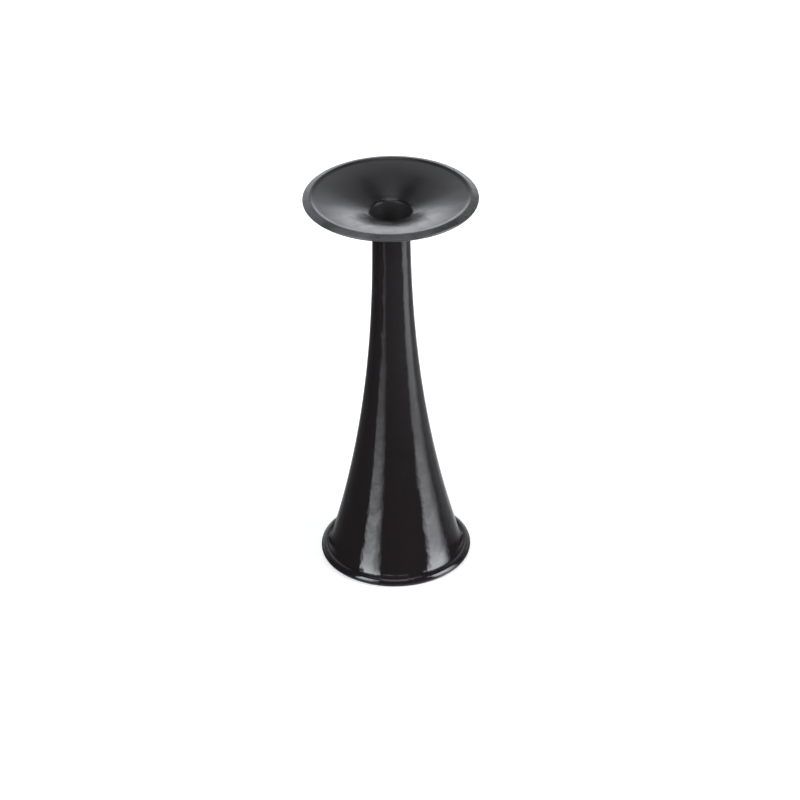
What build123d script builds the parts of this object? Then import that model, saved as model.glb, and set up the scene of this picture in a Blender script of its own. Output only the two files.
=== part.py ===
from build123d import *
from itertools import pairwise
import math
import os

# A monaural stethoscope: a hollow horn that stands on its bell, and a dished ear plate pushed into its neck.
# Millimetres. The origin is the middle of the ring that the bell stands on, and +Z runs up the channel.

# Driving dimensions
total_height = 145.0
rim_radius = 27.0
plate_radius = 30.3
neck_radius = 6.65
bore_radius = 4.0
throat_radius = 7.1

# Push fit: the ear plate's spigot in the socket at the top of the neck
seat_height = 131.8
spigot_radius = 5.2
spigot_length = 4.9
socket_radius = 5.25
socket_depth = 5.0
fit_chamfer = 0.3
seat_break = 0.35

# Horn: the outside of the flare, from the edge above the rim up to the neck
flare_top = 135.0
flare_gain = 18.05
flare_power = 2.26
lip_gain = 10.5
lip_height = 1.45
outside_heights = (3.6, 11.0, 22.0, 38.0, 46.0, 66.0, 94.0, seat_height - seat_break)

# Horn: the bell inside, from the end of the mouth's rounding up to the bore
rim_wall = 2.0
inside_heights = (0.97, 10.0, 13.0, 18.0, 27.0, 36.0, 46.0, 56.0, 60.0, 70.0, 126.0)
mouth_round = 1.4

# Horn: the rolled rim and the groove above it
roll_radius = 1.7
roll_start_angle = 107.0
roll_flats = 6
groove_radius = 24.62
groove_height = 3.0

# Ear plate: the upper face, from the bore up the throat and over the dish to the crest
throat_floor_height = 130.0
throat_edge_height = 138.9
throat_round = 2.0
throat_slope = 24.0
dish_edge_radius = 26.34
dish_edge_height = 144.62
dish_slope = 8.0
dish_flats = 3
crest_radius = 27.35
crest_round = 1.2
crest_slope = 28.0

# Ear plate: the edge, the underside and the hub
edge_round = 0.5
under_slope = 15.0
hub_radius = 9.3
hub_root_round = 2.0
hub_break = 0.4

# Small rounds are turned as short flats: the fewest on a round, and the most degrees that each may turn
fewest_flats = 2
flat_angle = 50.0


def tangent(degrees):
    return math.tan(math.radians(degrees))


def on_circle(centre, radius, degrees):
    angle = math.radians(degrees)
    return centre + Vector(radius * math.cos(angle), radius * math.sin(angle))


def meet(point_a, slope_a, point_b, slope_b):
    """Where two lines of an outline cross, each given by a point and its slope in degrees."""
    gradient_a = tangent(slope_a)
    gradient_b = tangent(slope_b)
    rise = point_b.Y - point_a.Y + gradient_a * point_a.X - gradient_b * point_b.X
    radius = rise / (gradient_a - gradient_b)
    return Vector(radius, point_a.Y + gradient_a * (radius - point_a.X))


def cone_radius(height):
    """The flare without its lip: slim at the neck and wider by a power law towards the bell."""
    drop = max(0.0, (flare_top - height) / flare_top)
    return neck_radius + flare_gain * drop**flare_power


def outside_radius(height):
    """The flare with the lip that turns outward just above the rim."""
    return cone_radius(height) + lip_gain * math.exp(-height / lip_height)


def inside_radius(height):
    """The bell inside, by the same law from the mouth up to the bore."""
    mouth_radius = cone_radius(0.0) - rim_wall
    drop = max(0.0, (inside_heights[-1] - height) / inside_heights[-1])
    return bore_radius + (mouth_radius - bore_radius) * drop**flare_power


def flare_point(radius_at, height):
    return Vector(radius_at(height), height)


def flare_curves(radius_at, heights):
    """Smooth curves from height to height, each leaving and arriving along the flare's own slope."""
    step = 0.001
    curves = []
    for low, high in pairwise(heights):
        slopes = [flare_point(radius_at, z + step) - flare_point(radius_at, z - step) for z in (low, high)]
        curves.append(Spline(flare_point(radius_at, low), flare_point(radius_at, high), tangents=slopes))
    return curves


def bend_points(start, corner, end, flats):
    """Points of a parabola that leaves start towards corner and comes into end from there."""
    shares = [k / flats for k in range(1, flats)]
    return [start * (1 - t) ** 2 + corner * (2 * t * (1 - t)) + end * t**2 for t in shares]


def round_flats(before, corner, after, radius):
    """The points of the short flats that round a corner between its two neighbours."""
    incoming = (before - corner).normalized()
    outgoing = (after - corner).normalized()
    half_angle = incoming.get_angle(outgoing) / 2
    centre = corner + (incoming + outgoing).normalized() * (radius / math.sin(math.radians(half_angle)))
    spoke = corner + incoming * (radius / tangent(half_angle)) - centre
    sweep = math.copysign(180 - 2 * half_angle, spoke.cross(outgoing - incoming).Z)
    count = max(fewest_flats, math.ceil(abs(sweep) / flat_angle))
    return [centre + spoke.rotate(Axis.Z, sweep * k / count) for k in range(count + 1)]


def path(*corners):
    """The points of an open outline through corners, each a point and the radius that rounds it."""
    points = []
    for i, (corner, radius) in enumerate(corners):
        if radius:
            points += round_flats(corners[i - 1][0], corner, corners[i + 1][0], radius)
        else:
            points.append(corner)
    return points


def turned(curves):
    """A solid turned from a closed outline, with the face of each of its lines kept apart."""
    edges = [edge for curve in curves for edge in curve.edges()]
    return revolve(Plane.XZ * make_face(edges), Axis.Z, clean=False)


def make_horn():
    socket_floor = seat_height - socket_depth
    neck = (
        flare_point(outside_radius, outside_heights[-1]),
        Vector(neck_radius - seat_break, seat_height),
        Vector(socket_radius + fit_chamfer, seat_height),
        Vector(socket_radius, seat_height - fit_chamfer),
        Vector(socket_radius, socket_floor),
        Vector(bore_radius, socket_floor),
        Vector(bore_radius, inside_heights[-1]),
    )
    roll_centre = Vector(rim_radius - roll_radius, roll_radius)
    roll_sweep = roll_start_angle + 90
    roll = [
        on_circle(roll_centre, roll_radius, roll_start_angle - roll_sweep * k / roll_flats)
        for k in range(roll_flats + 1)
    ]
    foot = flare_point(outside_radius, outside_heights[0])
    bell_start = flare_point(inside_radius, inside_heights[0])
    mouth = round_flats(roll[-1], flare_point(inside_radius, 0.0), bell_start, mouth_round)
    rim = [foot, Vector(groove_radius, groove_height), *roll, *mouth[:-1], bell_start]
    curves = flare_curves(outside_radius, outside_heights) + flare_curves(inside_radius, inside_heights)
    return turned([*curves, Polyline(*neck), Polyline(*rim)])


def make_ear_plate():
    rim_height = total_height - crest_round
    crest_centre = Vector(crest_radius, rim_height)
    edge_centre = Vector(plate_radius - edge_round, rim_height)
    edge_inset = (crest_round - edge_round) / (edge_centre.X - crest_centre.X)
    band_slope = -math.degrees(math.asin(edge_inset))
    crest_inside = on_circle(crest_centre, crest_round, 90 + crest_slope)
    crest_outside = on_circle(crest_centre, crest_round, 90 + band_slope)
    edge_underside = on_circle(edge_centre, edge_round, under_slope - 90)

    dish_edge = Vector(dish_edge_radius, dish_edge_height)
    throat_edge = Vector(throat_radius, throat_edge_height)
    dish_corner = meet(throat_edge, throat_slope, dish_edge, dish_slope)
    spigot_end = seat_height - spigot_length
    hub_root_height = edge_underside.Y + (hub_radius - edge_underside.X) * tangent(under_slope)
    *outline, _ = path(
        (dish_edge, 0),
        (meet(crest_inside, crest_slope, crest_outside, band_slope), crest_round),
        (meet(crest_outside, band_slope, edge_underside, under_slope), edge_round),
        (Vector(hub_radius, hub_root_height), hub_root_round),
        (Vector(hub_radius, seat_height + hub_break), 0),
        (Vector(hub_radius - hub_break, seat_height), 0),
        (Vector(spigot_radius, seat_height), 0),
        (Vector(spigot_radius, spigot_end + fit_chamfer), 0),
        (Vector(spigot_radius - fit_chamfer, spigot_end), 0),
        (Vector(bore_radius, spigot_end), 0),
        (Vector(bore_radius, throat_floor_height), 0),
        (throat_edge, throat_round),
        (dish_corner, 0),
    )
    outline += bend_points(outline[-1], dish_corner, dish_edge, dish_flats)
    return turned([Polyline(*outline, close=True)])


os.makedirs("parts", exist_ok=True)
export_step(make_horn(), "parts/horn.step")
export_step(make_ear_plate(), "parts/ear_plate.step")
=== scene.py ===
import math

import bpy
from mathutils import Matrix, Vector


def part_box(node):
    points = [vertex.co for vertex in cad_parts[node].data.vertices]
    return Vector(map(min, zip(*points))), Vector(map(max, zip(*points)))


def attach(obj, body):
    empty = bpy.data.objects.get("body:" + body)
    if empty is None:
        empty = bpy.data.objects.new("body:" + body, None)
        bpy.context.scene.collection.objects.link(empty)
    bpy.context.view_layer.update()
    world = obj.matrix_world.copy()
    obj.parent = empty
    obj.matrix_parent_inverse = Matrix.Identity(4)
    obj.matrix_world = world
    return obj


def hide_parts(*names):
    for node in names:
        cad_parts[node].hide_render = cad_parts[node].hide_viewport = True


# The looks of a black plastic monaural stethoscope: a glossy horn and a satin ear plate.
# Outlines are in millimetres, radius first and height second. Blender objects are in metres.

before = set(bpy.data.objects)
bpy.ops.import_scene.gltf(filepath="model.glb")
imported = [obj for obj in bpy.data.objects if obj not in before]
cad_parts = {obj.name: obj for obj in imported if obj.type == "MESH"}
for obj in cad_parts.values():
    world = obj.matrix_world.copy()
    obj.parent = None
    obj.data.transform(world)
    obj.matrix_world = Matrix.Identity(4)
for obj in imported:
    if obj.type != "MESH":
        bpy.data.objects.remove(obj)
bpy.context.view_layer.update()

MM = 0.001

# Overall sizes, read from the frame
_, horn_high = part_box("horn")
plate_low, plate_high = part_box("ear_plate")
total_height = plate_high.z / MM
plate_radius = round(plate_high.x / MM, 1)
rim_radius = round(horn_high.x / MM, 1)
seat_height = round(horn_high.z / MM, 1)
spigot_end = round(plate_low.z / MM, 1)

# Horn: the sizes of the part's source. The rounds of the groove and the foot are added here.
neck_radius = 6.65
bore_radius = 4.0
flare_top = 135.0
flare_gain = 18.05
flare_power = 2.26
lip_gain = 10.5
lip_height = 1.45
flare_foot = 3.6
roll_radius = 1.7
roll_start_angle = 107.0
groove_radius = 24.62
groove_height = 3.0
groove_round = 0.12
mouth_round = 1.4
foot_round = 0.2
rim_wall = 2.0
bore_start = 126.0
socket_radius = 5.25
socket_depth = 5.0
spigot_radius = 5.2
fit_chamfer = 0.3
seat_break = 0.35

# Ear plate: the sizes of the part's source, but its crest and dish edge stand 0.4 mm further out here
throat_radius = 7.1
throat_floor_height = 130.0
throat_round = 2.0
throat_slope = 24.0
throat_edge_height = 138.9
dish_edge_radius = 26.75
dish_edge_height = 144.62
dish_slope = 8.0
dish_steps = 24
crest_radius = 27.75
crest_round = 1.2
crest_slope = 28.0
edge_round = 0.5
under_slope = 15.0
hub_radius = 9.3
hub_root_round = 2.0
hub_break = 0.4

# Fineness of the turned meshes: rings crowd towards the rim, where the flare bends most
SEGMENTS = 192
ARC_STEP = math.radians(7.5)
LONGEST_RUN = 1.5
first_outside_ring = flare_foot + 0.15
outside_rings = 130
outside_crowding = 1.9
first_inside_ring = 2.0
inside_rings = 90
inside_crowding = 1.5

# Plastic: linear colours
HORN_BLACK = (0.0118, 0.0098, 0.0103, 1)
PLATE_BLACK = (0.0118, 0.0103, 0.0108, 1)
# Grey of the rim: part wear, part a painted sheen
WEAR_AND_SHEEN_GREY = (0.068, 0.068, 0.069, 1)
PLASTIC_IOR = 1.5

# Relief of the plastic: how often it repeats in a metre, and how deep it is in metres
HORN_SWELL_SCALE = 220.0
HORN_SWELL_DEPTH = 0.0005
TURNING_MARK_STRETCH = (60.0, 60.0, 2600.0)
TURNING_MARK_DEPTH = 0.00004
PLATE_SWELL_SCALE = 80.0
PLATE_SWELL_DEPTH = 0.0002
THROAT_EDGE_SCALE = 650.0
RIM_NICK_SCALE = 480.0
EDGE_RELIEF_DEPTH = 0.0001
GRAIN_SCALE = 1400.0
GRAIN_DEPTH = 0.000012

# Where the looks change, in metres: heights on the horn, and radii on the ear plate
neck_heights = (0.085, 0.115)
turning_mark_heights = (0.030, 0.037, 0.042, 0.048)
# The rim band takes the grey of wear and painted sheen, and the nicks
rim_band_radii = (0.0276, 0.0284)
matt_throat = (0.0067, 0.0075)
dull_throat = (0.0070, 0.0077)
throat_edge_zone = (0.0080, 0.0096)

# The ear plate's rim grey, part wear and part painted sheen, fades towards its right side over this
# stretch of X in metres, a painted shade on that side
painted_sheen_fade_side = (0.0, 0.026)

# Light and floor: the glow lifts the floor to white for the camera alone
WHITE = (1, 1, 1, 1)
COOL_WHITE = (0.93, 0.96, 1, 1)
FLOOR_PAINT = (0.86, 0.86, 0.86, 1)
FLOOR_GLOW = 0.42
FLOOR_HALF_WIDTH = 3.0

# Camera, as fitted to the photograph's view
camera_distance = 1.26125
camera_target_height = 0.07265
camera_elevation = 31.363
camera_yaw = -0.0998
camera_pitch = -0.3956
camera_roll = 0.8841
camera_lens = 160.82
camera_sensor_width = 36.0
camera_sight = 20.0


def tangent(degrees):
    return math.tan(math.radians(degrees))


def on_circle(centre, radius, degrees):
    angle = math.radians(degrees)
    return Vector((centre[0] + radius * math.cos(angle), centre[1] + radius * math.sin(angle)))


def touch_point(centre, radius, slope):
    """Where a line of this slope touches the upper side of a round edge."""
    return on_circle(centre, radius, 90 + slope)


def meet(point_a, slope_a, point_b, slope_b):
    """Where two lines of an outline cross, each given by a point and its slope in degrees."""
    gradient_a = tangent(slope_a)
    gradient_b = tangent(slope_b)
    rise = point_b[1] - point_a[1] + gradient_a * point_a[0] - gradient_b * point_b[0]
    radius = rise / (gradient_a - gradient_b)
    return radius, point_a[1] + gradient_a * (radius - point_a[0])


def cone_radius(height):
    drop = max(0.0, (flare_top - height) / flare_top)
    return neck_radius + flare_gain * drop**flare_power


def outside_radius(height):
    return cone_radius(height) + lip_gain * math.exp(-height / lip_height)


def inside_radius(height):
    mouth_radius = cone_radius(0.0) - rim_wall
    drop = max(0.0, (bore_start - height) / bore_start)
    return bore_radius + (mouth_radius - bore_radius) * drop**flare_power


def spread(low, high, count, crowding):
    """Heights from low to high that lie closer together near low."""
    return [low + (high - low) * (i / count) ** crowding for i in range(1, count)]


def rounded(corners):
    """The closed outline through the corners (radius, height, rounding), with arcs and no long runs."""
    points = []
    for i, (x, y, rounding) in enumerate(corners):
        corner = Vector((x, y))
        if rounding == 0:
            points.append(corner)
            continue
        before = (Vector(corners[i - 1][:2]) - corner).normalized()
        after = (Vector(corners[(i + 1) % len(corners)][:2]) - corner).normalized()
        half = before.angle(after) / 2
        centre = corner + (before + after).normalized() * rounding / math.sin(half)
        start = corner + before * rounding / math.tan(half) - centre
        sweep = math.copysign(math.pi - 2 * half, start.cross(after - before))
        steps = max(2, round(abs(sweep) / ARC_STEP))
        for k in range(steps + 1):
            turn = sweep * k / steps
            points.append(
                centre
                + Vector(
                    (
                        start.x * math.cos(turn) - start.y * math.sin(turn),
                        start.x * math.sin(turn) + start.y * math.cos(turn),
                    )
                )
            )
    outline = []
    for i, point in enumerate(points):
        run = points[(i + 1) % len(points)] - point
        pieces = max(1, math.ceil(run.length / LONGEST_RUN))
        outline += [point + run * k / pieces for k in range(pieces)]
    return outline


def turned(name, outline):
    """A closed outline turned round the vertical axis, as a smooth mesh of quads."""
    rings = len(outline)
    points = []
    for k in range(SEGMENTS):
        angle = math.tau * k / SEGMENTS
        points += [
            (p.x * MM * math.cos(angle), p.x * MM * math.sin(angle), p.y * MM) for p in outline
        ]
    quads = []
    for k in range(SEGMENTS):
        here = k * rings
        there = (k + 1) % SEGMENTS * rings
        for i in range(rings):
            j = (i + 1) % rings
            quads.append((here + i, there + i, there + j, here + j))
    mesh = bpy.data.meshes.new(name)
    mesh.from_pydata(points, [], quads)
    mesh.shade_smooth()
    piece = bpy.data.objects.new(name, mesh)
    bpy.context.scene.collection.objects.link(piece)
    piece.modifiers.new("flat_faces_first", "WEIGHTED_NORMAL")
    return piece


def horn_outline():
    roll_centre = (rim_radius - roll_radius, roll_radius)
    roll_steps = round(math.radians(90 + roll_start_angle) / ARC_STEP)
    roll = [
        on_circle(roll_centre, roll_radius, -90 + (90 + roll_start_angle) * k / roll_steps)
        for k in range(roll_steps + 1)
    ]
    corners = [(p.x, p.y, 0) for p in roll]
    corners.append((groove_radius, groove_height, groove_round))
    corners.append((outside_radius(flare_foot), flare_foot, foot_round))
    outside = spread(first_outside_ring, seat_height, outside_rings, outside_crowding)
    corners += [(outside_radius(z), z, 0) for z in outside]
    corners.append((neck_radius, seat_height, seat_break))
    corners.append((socket_radius + fit_chamfer, seat_height, 0))
    corners.append((socket_radius, seat_height - fit_chamfer, 0))
    corners.append((socket_radius, seat_height - socket_depth, 0))
    corners.append((bore_radius, seat_height - socket_depth, 0))
    corners.append((bore_radius, bore_start, 0))
    inside = spread(first_inside_ring, bore_start, inside_rings, inside_crowding)
    corners += [(inside_radius(z), z, 0) for z in reversed(inside)]
    corners.append((inside_radius(0.0), 0.0, mouth_round))
    return rounded(corners)


def ear_plate_outline():
    rim_height = total_height - crest_round
    edge_centre = (plate_radius - edge_round, rim_height)
    crest_centre = (crest_radius, rim_height)
    band = (crest_round - edge_round) / (edge_centre[0] - crest_centre[0])
    band_slope = -math.degrees(math.asin(band))
    crest_inside = touch_point(crest_centre, crest_round, crest_slope)
    crest_outside = touch_point(crest_centre, crest_round, band_slope)
    edge_underside = touch_point(edge_centre, -edge_round, under_slope)

    throat_edge = Vector((throat_radius, throat_edge_height))
    throat_wall = Vector((throat_radius - bore_radius, throat_edge_height - throat_floor_height))
    throat_turn = math.degrees(math.atan2(throat_wall.y, throat_wall.x)) - throat_slope
    dish_edge = Vector((dish_edge_radius, dish_edge_height))
    dish_corner = Vector(meet(throat_edge, throat_slope, dish_edge, dish_slope))
    dish_direction = (dish_corner - throat_edge).normalized()
    dish_start = throat_edge + dish_direction * throat_round * tangent(throat_turn / 2)
    shares = [k / dish_steps for k in range(1, dish_steps + 1)]
    dish = [dish_start * (1 - t) ** 2 + dish_corner * (2 * t * (1 - t)) + dish_edge * t**2 for t in shares]
    hub_root_height = edge_underside[1] + (hub_radius - edge_underside[0]) * tangent(under_slope)
    corners = [
        (bore_radius, throat_floor_height, 0),
        (*throat_edge, throat_round),
        *[(*point, 0) for point in dish],
        (*meet(crest_inside, crest_slope, crest_outside, band_slope), crest_round),
        (*meet(crest_outside, band_slope, edge_underside, under_slope), edge_round),
        (hub_radius, hub_root_height, hub_root_round),
        (hub_radius, seat_height, hub_break),
        (spigot_radius, seat_height, 0),
        (spigot_radius, spigot_end + fit_chamfer, 0),
        (spigot_radius - fit_chamfer, spigot_end, 0),
        (bore_radius, spigot_end, 0),
    ]
    return rounded(corners)


class Tree:
    """Adds nodes to a node tree. An input is a number, a colour or another node's output."""

    def __init__(self, tree):
        self.tree = tree
        tree.nodes.clear()

    def add(self, kind, inputs=(), **settings):
        node = self.tree.nodes.new(kind)
        for key, value in settings.items():
            setattr(node, key, value)
        for socket, value in dict(inputs).items():
            if isinstance(value, bpy.types.NodeSocket):
                self.tree.links.new(value, node.inputs[socket])
            else:
                node.inputs[socket].default_value = value
        return node

    def math(self, operation, *values):
        return self.add("ShaderNodeMath", enumerate(values), operation=operation).outputs[0]

    def product(self, result, *factors):
        for factor in factors:
            result = self.math("MULTIPLY", result, factor)
        return result

    def remap(self, value, low, high, to_low, to_high, smooth=True):
        """Maps low..high to to_low..to_high and holds the ends."""
        inputs = {0: value, 1: low, 2: high, 3: to_low, 4: to_high}
        kind = "SMOOTHSTEP" if smooth else "LINEAR"
        node = self.add("ShaderNodeMapRange", inputs, interpolation_type=kind)
        return node.outputs[0]

    def noise(self, position, scale, detail=2.0, roughness=0.5):
        inputs = {"Vector": position, "Scale": scale, "Detail": detail, "Roughness": roughness}
        return self.add("ShaderNodeTexNoise", inputs).outputs["Fac"]

    def stretched(self, position, x, y, z):
        inputs = {"Vector": position, "Scale": (x, y, z)}
        return self.add("ShaderNodeMapping", inputs).outputs["Vector"]

    def bump(self, height, distance, normal=None):
        """A normal bent by relief. The distance is the depth of the relief in metres."""
        inputs = {"Height": height, "Distance": distance}
        if normal is not None:
            inputs["Normal"] = normal
        return self.add("ShaderNodeBump", inputs).outputs["Normal"]


def new_material(name):
    material = bpy.data.materials.new(name)
    material.use_nodes = True
    return material, Tree(material.node_tree)


def along(tree, value, *stops):
    """A value that runs in straight lines from stop to stop, each a place and the strength there."""
    places = [place for place, _ in stops]
    strengths = [strength for _, strength in stops]
    low = places[0]
    span = places[-1] - low
    most = max(strengths)
    share = tree.remap(value, low, places[-1], 0.0, 1.0, smooth=False)
    node = tree.add("ShaderNodeValToRGB", {0: share})
    ramp = node.color_ramp
    ramp.interpolation = "LINEAR"
    while len(ramp.elements) < len(stops):
        ramp.elements.new(0.5)
    for element, place, strength in zip(ramp.elements, places, strengths):
        element.position = (place - low) / span
        element.color = (strength / most,) * 3 + (1,)
    return tree.product(node.outputs["Color"], most)


def horn_material():
    """Glossy black plastic: a slightly wavy moulded skin, turning marks, fine grain and scuffs."""
    material, tree = new_material("horn_plastic")
    position = tree.add("ShaderNodeTexCoord").outputs["Object"]
    height = tree.add("ShaderNodeSeparateXYZ", {0: position}).outputs["Z"]

    swell = tree.noise(tree.stretched(position, 1.0, 1.0, 0.7), HORN_SWELL_SCALE, 2.0)
    neck = tree.remap(height, *neck_heights, 0.3, 0.6)
    normal = tree.bump(tree.product(swell, neck), HORN_SWELL_DEPTH)
    marks = tree.noise(tree.stretched(position, *TURNING_MARK_STRETCH), 1.0, 2.0)
    marked = along(tree, height, *zip(turning_mark_heights, (0, 1, 1, 0)))
    marked = tree.math("ADD", tree.product(marked, 0.8), 0.2)
    normal = tree.bump(tree.product(marks, marked), TURNING_MARK_DEPTH, normal)
    normal = tree.bump(tree.noise(position, GRAIN_SCALE, 3.0), GRAIN_DEPTH, normal)

    scuffs = tree.remap(tree.noise(position, 260.0, 5.0, 0.6), 0.45, 0.75, 0.05, 0.12)
    shader = tree.add(
        "ShaderNodeBsdfPrincipled",
        {"Base Color": HORN_BLACK, "Roughness": scuffs, "IOR": PLASTIC_IOR, "Normal": normal},
    )
    tree.add("ShaderNodeOutputMaterial", {"Surface": shader.outputs[0]})
    return material


def plate_material():
    """The same plastic, dulled by handling, grey on the rim from wear and from a painted sheen that fades
    to the right, and matt inside the throat.
    """
    material, tree = new_material("plate_plastic")
    position = tree.add("ShaderNodeTexCoord").outputs["Object"]
    x, y, _ = tree.add("ShaderNodeSeparateXYZ", {0: position}).outputs
    radius = tree.math("SQRT", tree.math("ADD", tree.product(x, x), tree.product(y, y)))

    # The rim grey is part wear and part painted sheen, and it fades to half towards the right, a painted
    # shade on that side
    rim = tree.remap(radius, *rim_band_radii, 0.0, 1.0)
    patches = tree.remap(tree.noise(position, 90.0, 3.0), 0.38, 0.62, 0.5, 1.0)
    side = tree.remap(x, *painted_sheen_fade_side, 1.0, 0.5)
    wear_and_sheen = tree.product(rim, patches, side)
    paints = {0: wear_and_sheen, 6: PLATE_BLACK, 7: WEAR_AND_SHEEN_GREY}
    paint = tree.add("ShaderNodeMix", paints, data_type="RGBA").outputs[2]

    handled = tree.remap(tree.noise(position, 300.0, 4.0), 0.35, 0.7, 0.17, 0.25)
    handled = tree.math("ADD", handled, tree.product(wear_and_sheen, 0.2))
    shine = tree.remap(radius, *dull_throat, 0.22, 0.5)
    rough = tree.math("MAXIMUM", handled, tree.remap(radius, *matt_throat, 0.7, 0.0))

    normal = tree.bump(tree.noise(position, PLATE_SWELL_SCALE, 1.0), PLATE_SWELL_DEPTH)
    throat_edge = tree.remap(radius, *throat_edge_zone, 1.0, 0.0)
    throat_relief = tree.product(tree.noise(position, THROAT_EDGE_SCALE, 2.0), throat_edge)
    normal = tree.bump(throat_relief, EDGE_RELIEF_DEPTH, normal)
    rim_relief = tree.product(tree.noise(position, RIM_NICK_SCALE, 3.0), rim)
    normal = tree.bump(rim_relief, EDGE_RELIEF_DEPTH, normal)
    normal = tree.bump(tree.noise(position, GRAIN_SCALE, 3.0), GRAIN_DEPTH, normal)
    shader = tree.add(
        "ShaderNodeBsdfPrincipled",
        {
            "Base Color": paint,
            "Roughness": rough,
            "IOR": PLASTIC_IOR,
            "Specular IOR Level": shine,
            "Normal": normal,
        },
    )
    tree.add("ShaderNodeOutputMaterial", {"Surface": shader.outputs[0]})
    return material


def studio_world():
    """A dark room, by direction: tall soft lamps at both sides, a pale wall, an overhead strip and flags.

    Azimuth is 0 in front and grows to the right, and both angles are in degrees. The camera sees white.
    """
    world = bpy.data.worlds.new("studio")
    world.use_nodes = True
    bpy.context.scene.world = world
    tree = Tree(world.node_tree)
    direction = tree.add("ShaderNodeTexCoord").outputs["Generated"]
    x, y, z = tree.add("ShaderNodeSeparateXYZ", {0: direction}).outputs
    degrees = 180 / math.pi
    azimuth = tree.product(tree.math("ARCTAN2", x, tree.product(y, -1.0)), degrees)
    elevation = tree.product(tree.math("ARCSINE", z), degrees)
    aside = tree.math("ABSOLUTE", x)

    left_middle = -42.0
    pinch = tree.remap(elevation, -24.0, -21.0, 2.0, 1.0)
    from_middle = tree.product(tree.math("SUBTRACT", azimuth, left_middle), pinch)
    left_across = along(tree, from_middle, (-20, 0), (-15, 1), (1, 0.9), (16, 0))
    left_heights = (-40, 0.2), (-25, 0.55), (-17, 1.3), (-10, 2.9), (-4, 6.2), (18, 9.4), (40, 11), (50, 0)
    left_lamp = tree.product(left_across, along(tree, elevation, *left_heights))

    below = tree.math("MAXIMUM", tree.product(elevation, -1.0), 0.0)
    leaning = tree.math("SUBTRACT", azimuth, tree.product(below, 0.4))
    right_across = along(tree, leaning, (51, 0), (61, 1), (79, 1), (98, 0))
    right_heights = (-40, 1.0), (-26, 2.0), (-19, 1.4), (-10, 4.4), (-4, 7.8), (11, 9.7), (36, 10), (46, 0)
    right_lamp = tree.product(right_across, along(tree, elevation, *right_heights))

    wall_across = along(tree, tree.math("ABSOLUTE", azimuth), (112, 0), (150, 0.5), (161, 0.68), (172, 1))
    wall_low = (-8, 0), (3, 2.2), (8, 2.4), (13, 2.4), (20, 1.45)
    wall_high = (27, 1.0), (34, 0.8), (46, 0.8), (56, 0.45), (75, 0.3)
    wall = tree.product(wall_across, along(tree, elevation, *wall_low, *wall_high))
    low_wall_widths = (-172, 0.4), (-140, 0.1), (-100, 0), (108, 0.3), (140, 0.3), (172, 0.8)
    low_wall_up = along(tree, elevation, (-38, 1), (-22, 1), (-12, 0))
    low_wall = tree.product(along(tree, azimuth, *low_wall_widths), low_wall_up)

    strip_across = along(tree, aside, (0.16, 1), (0.32, 0))
    strip_along = along(tree, y, (-0.78, 0), (-0.66, 1), (0.16, 1), (0.26, 0.25), (0.55, 0))
    strip_up = along(tree, z, (0.55, 0), (0.68, 1.8))
    strip = tree.product(strip_across, strip_along, strip_up)
    under = along(tree, elevation, (-75, 0), (-62, 0.7), (-52, 0.7), (-42, 0))

    flags_across = along(tree, aside, (0.10, 0), (0.20, 0.7), (0.29, 0.7), (0.42, 0))
    flags_up = along(tree, z, (0.74, 0), (0.82, 1), (0.93, 1), (0.98, 0))
    flags_back = along(tree, y, (0.1, 0), (0.3, 1))
    flags = tree.product(flags_across, flags_up, flags_back)

    studio = tree.math("ADD", left_lamp, right_lamp)
    for part in (wall, low_wall, strip, under):
        studio = tree.math("ADD", studio, part)
    studio = tree.product(studio, tree.math("SUBTRACT", 1.0, flags))
    seen = tree.add("ShaderNodeLightPath").outputs["Is Camera Ray"]
    strength = tree.add("ShaderNodeMix", {0: seen, 2: studio, 3: 1.0}, data_type="FLOAT").outputs[0]
    tints = {0: seen, 6: COOL_WHITE, 7: WHITE}
    tint = tree.add("ShaderNodeMix", tints, data_type="RGBA")
    light = tree.add("ShaderNodeBackground", {"Color": tint.outputs[2], "Strength": strength})
    tree.add("ShaderNodeOutputWorld", {"Surface": light.outputs[0]})


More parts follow.
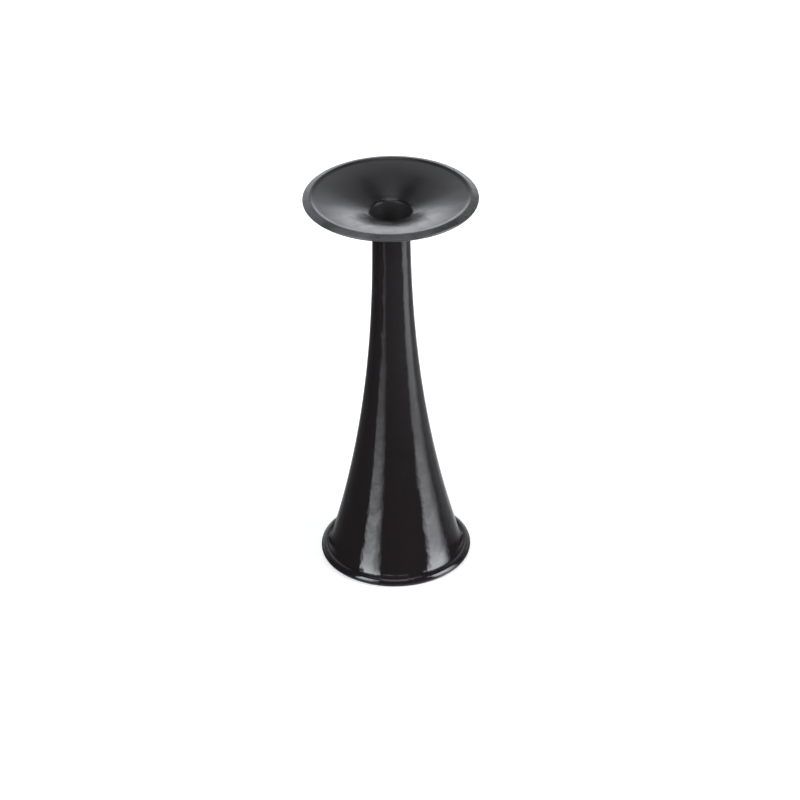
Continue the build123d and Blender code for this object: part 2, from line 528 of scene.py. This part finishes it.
def studio_floor():
    """A pale floor that takes the shadow. Reflections look past it to the studio's own lower half."""
    mesh = bpy.data.meshes.new("studio_floor")
    edge = FLOOR_HALF_WIDTH
    corners = [(-edge, -edge, 0), (edge, -edge, 0), (edge, edge, 0), (-edge, edge, 0)]
    mesh.from_pydata(corners, [], [(0, 1, 2, 3)])
    floor = bpy.data.objects.new("studio_floor", mesh)
    bpy.context.scene.collection.objects.link(floor)
    floor.visible_glossy = False
    material, tree = new_material("pale_floor")
    seen = tree.add("ShaderNodeLightPath").outputs["Is Camera Ray"]
    paint = tree.add("ShaderNodeBsdfDiffuse", {"Color": FLOOR_PAINT})
    glow_strength = tree.product(seen, FLOOR_GLOW)
    glow = tree.add("ShaderNodeEmission", {"Color": WHITE, "Strength": glow_strength})
    both = tree.add("ShaderNodeAddShader", {0: paint.outputs[0], 1: glow.outputs[0]})
    tree.add("ShaderNodeOutputMaterial", {"Surface": both.outputs[0]})
    mesh.materials.append(material)


def add_camera():
    camera = bpy.data.objects.new("camera", bpy.data.cameras.new("camera"))
    bpy.context.scene.collection.objects.link(camera)
    bpy.context.scene.camera = camera
    camera.data.lens = camera_lens
    camera.data.sensor_width = camera_sensor_width
    camera.data.clip_end = camera_sight
    elevation = math.radians(camera_elevation)
    place = Vector((0, -math.cos(elevation), math.sin(elevation))) * camera_distance
    place.z += camera_target_height
    aim = Matrix.Rotation(math.radians(90 - camera_elevation), 4, "X")
    aim @= Matrix.Rotation(math.radians(camera_yaw), 4, "Y")
    aim @= Matrix.Rotation(math.radians(camera_pitch), 4, "X")
    aim @= Matrix.Rotation(math.radians(-camera_roll), 4, "Z")
    camera.matrix_world = Matrix.Translation(place) @ aim


horn = turned("horn_shell", horn_outline())
horn.data.materials.append(horn_material())
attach(horn, "horn")
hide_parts("horn")

ear_plate = turned("ear_plate_disc", ear_plate_outline())
ear_plate.data.materials.append(plate_material())
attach(ear_plate, "ear_plate")
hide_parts("ear_plate")

studio_world()
studio_floor()
add_camera()
bpy.context.scene.view_settings.view_transform = "Standard"
